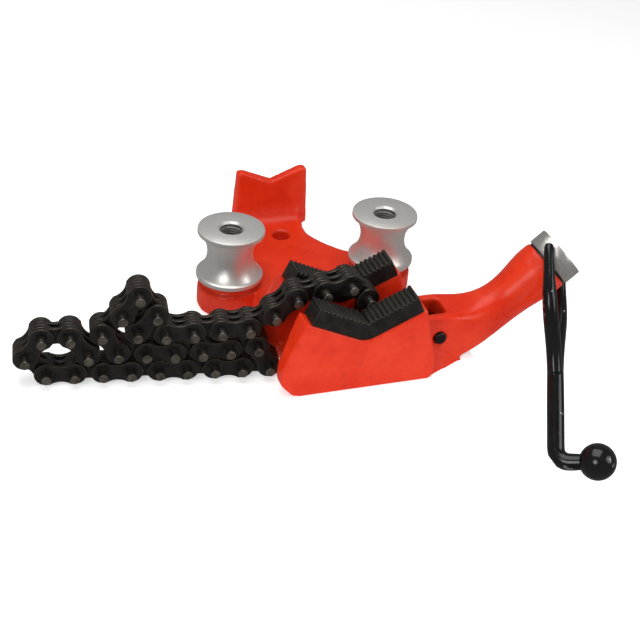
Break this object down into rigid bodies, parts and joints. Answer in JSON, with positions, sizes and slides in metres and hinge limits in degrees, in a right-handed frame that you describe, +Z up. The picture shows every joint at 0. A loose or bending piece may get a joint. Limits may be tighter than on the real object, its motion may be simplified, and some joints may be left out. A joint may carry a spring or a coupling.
{
  "type": "bench chain vise",
  "caption": "Top-screw bench chain vise: toothed vee jaws, leaf chain, draw screw with a folding crank, grooved bending rollers and a rear vee pipe rest.",
  "frame": {"origin": "on the bench face, under the bottom of the jaws' vee, in the middle plane of the chain slot", "axes": "+X along the chain slot towards the crank arm, +Y back over the bending rollers to the pipe rest, +Z up from the bench"},
  "size_m": [0.4069, 0.3205, 0.1311],
  "materials": {
    "casting_paint": "semi-gloss enamel over a sand-cast surface",
    "jaw_steel": "black oxide, machined teeth",
    "chain_steel": "dark oiled plates, bare pin ends",
    "roller_aluminium": "fine turned, satin",
    "crank_enamel": "gloss black enamel",
    "nut_steel": "bright turned",
    "black_pin_steel": "black oxide",
    "plain_steel": "plain machined steel"
  },
  "bodies": {
    "vise_body": {"body_casting": "casting_paint", "front_jaw": "jaw_steel", "rear_jaw": "jaw_steel", "front_jaw_dowels": "plain_steel", "rear_jaw_dowels": "plain_steel", "left_roller_washer": "plain_steel", "right_roller_washer": "plain_steel", "thrust_washer": "plain_steel", "key_pin": "plain_steel", "chain_guide_pin": "black_pin_steel", "chain_link_01": "chain_steel", "chain_link_02": "chain_steel", "chain_link_03": "chain_steel", "chain_link_04": "chain_steel", "chain_link_05": "chain_steel", "chain_link_06": "chain_steel", "chain_link_07": "chain_steel", "chain_link_08": "chain_steel", "chain_link_09": "chain_steel", "chain_link_10": "chain_steel", "chain_link_11": "chain_steel"},
    "left_roller_set": {"left_roller": "roller_aluminium", "left_roller_bolt": "plain_steel"},
    "right_roller_set": {"right_roller": "roller_aluminium", "right_roller_bolt": "plain_steel"},
    "feed_nut_set": {"feed_nut": "nut_steel", "crank_pivots": "black_pin_steel"},
    "draw_screw_set": {"draw_screw": "plain_steel"},
    "crank": {"crank_handle": "crank_enamel", "crank_knob": "crank_enamel"},
    "chain_pile": {"chain_link_12": "chain_steel", "chain_link_13": "chain_steel", "chain_link_14": "chain_steel", "chain_link_15": "chain_steel", "chain_link_16": "chain_steel", "chain_link_17": "chain_steel", "chain_link_18": "chain_steel", "chain_link_19": "chain_steel", "chain_link_20": "chain_steel", "chain_link_21": "chain_steel", "chain_link_22": "chain_steel", "chain_link_23": "chain_steel", "chain_link_24": "chain_steel", "chain_link_25": "chain_steel", "chain_link_26": "chain_steel", "chain_link_27": "chain_steel", "chain_link_28": "chain_steel", "chain_link_29": "chain_steel", "chain_link_30": "chain_steel", "chain_link_31": "chain_steel", "chain_link_32": "chain_steel", "chain_link_33": "chain_steel", "chain_link_34": "chain_steel", "chain_link_35": "chain_steel"},
    "chain_tail": {"chain_link_36": "chain_steel", "chain_link_37": "chain_steel", "chain_link_38": "chain_steel", "chain_link_39": "chain_steel"}
  },
  "joints": [
    {"name": "left_roller_spin", "type": "hinge", "parent": "vise_body", "child": "left_roller_set", "pos_m": [-0.0604, 0.093, 0.04], "axis": [0, 0, 1], "continuous": true},
    {"name": "right_roller_spin", "type": "hinge", "parent": "vise_body", "child": "right_roller_set", "pos_m": [0.0604, 0.093, 0.04], "axis": [0, 0, 1], "continuous": true},
    {"name": "nut_spin", "type": "hinge", "parent": "vise_body", "child": "feed_nut_set", "pos_m": [0.156, 0, 0.068], "axis": [0.7547, 0, 0.6561], "range_deg": [-150, 150]},
    {"name": "screw_draw", "type": "slide", "parent": "vise_body", "child": "draw_screw_set", "axis": [0.7547, 0, 0.6561], "range_m": [-0.0017, 0.02]},
    {"name": "crank_fold", "type": "hinge", "parent": "feed_nut_set", "child": "crank", "pos_m": [0.156, 0, 0.068], "axis": [-0.5682, -0.5, 0.6536], "range_deg": [0, 128]},
    {"name": "chain_lift", "type": "hinge", "parent": "vise_body", "child": "chain_pile", "pos_m": [-0.05668, 0.00248, 0.04967], "axis": [0.1045, 0.9945, 0], "range_deg": [0, 70]},
    {"name": "tail_curl", "type": "hinge", "parent": "chain_pile", "child": "chain_tail", "pos_m": [-0.20883, 0.02569, 0.00851], "axis": [-0.1564, -0.9877, 0], "range_deg": [0, 40]}
  ],
  "couplings": [
    {"joint": "screw_draw", "follows": "nut_spin", "m_per_rad": 0.00063662}
  ]
}
